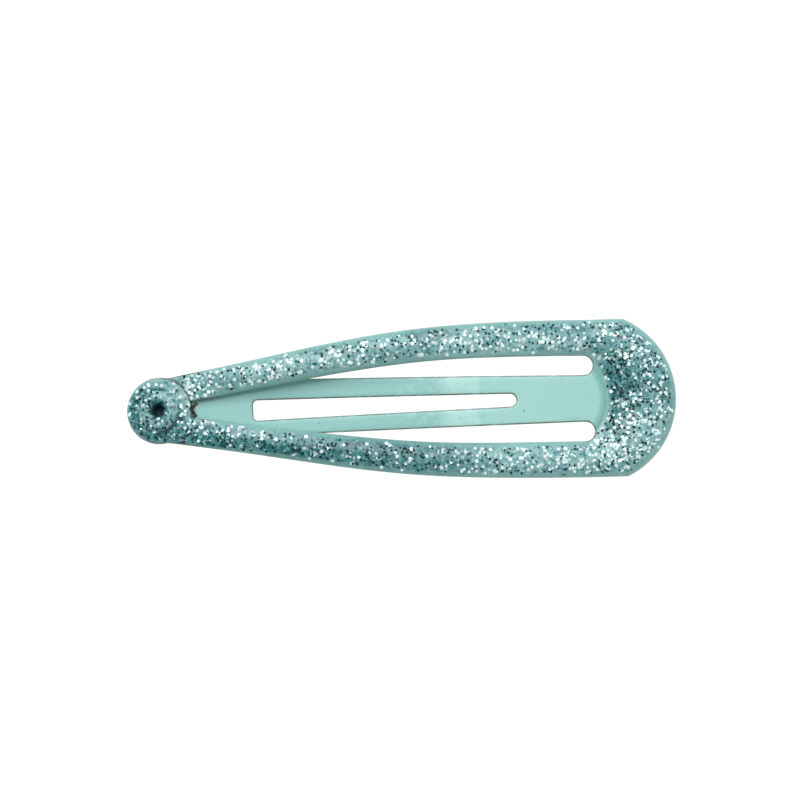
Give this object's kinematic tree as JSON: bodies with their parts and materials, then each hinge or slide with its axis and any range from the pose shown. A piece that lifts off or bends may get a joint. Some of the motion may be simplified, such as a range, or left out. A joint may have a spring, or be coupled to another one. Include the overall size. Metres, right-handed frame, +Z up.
{
  "type": "snap hair clip",
  "caption": "Arched snap hair clip of glittered enamelled sheet steel: riveted arms round a slotted tongue that bends down to open.",
  "frame": {"origin": "middle of the clip's outline seen from above, at the height of the surface that it lies on", "axes": "+X along the clip towards its wide end, +Y across it, +Z up, away from the surface, on the glittered face's side"},
  "size_m": [0.05, 0.0144, 0.0038],
  "materials": {
    "glitter_enamel": "mint enamel under a clear coat full of hexagonal glitter",
    "mint_enamel": "smooth satin enamel",
    "cut_edge": "thinly painted cut edge, grey-brown where the steel shows through",
    "glitter_flake": "metallised film flakes, silver and teal"
  },
  "bodies": {
    "frame": {"frame": "glitter_enamel", "eyelet": "glitter_enamel"},
    "tongue": {"tongue": "mint_enamel"}
  },
  "joints": [
    {"name": "tongue_bend", "type": "hinge", "parent": "frame", "child": "tongue", "pos_m": [0.0175, 0, 0.00035], "axis": [0, -1, 0], "range_deg": [0, 25]}
  ]
}
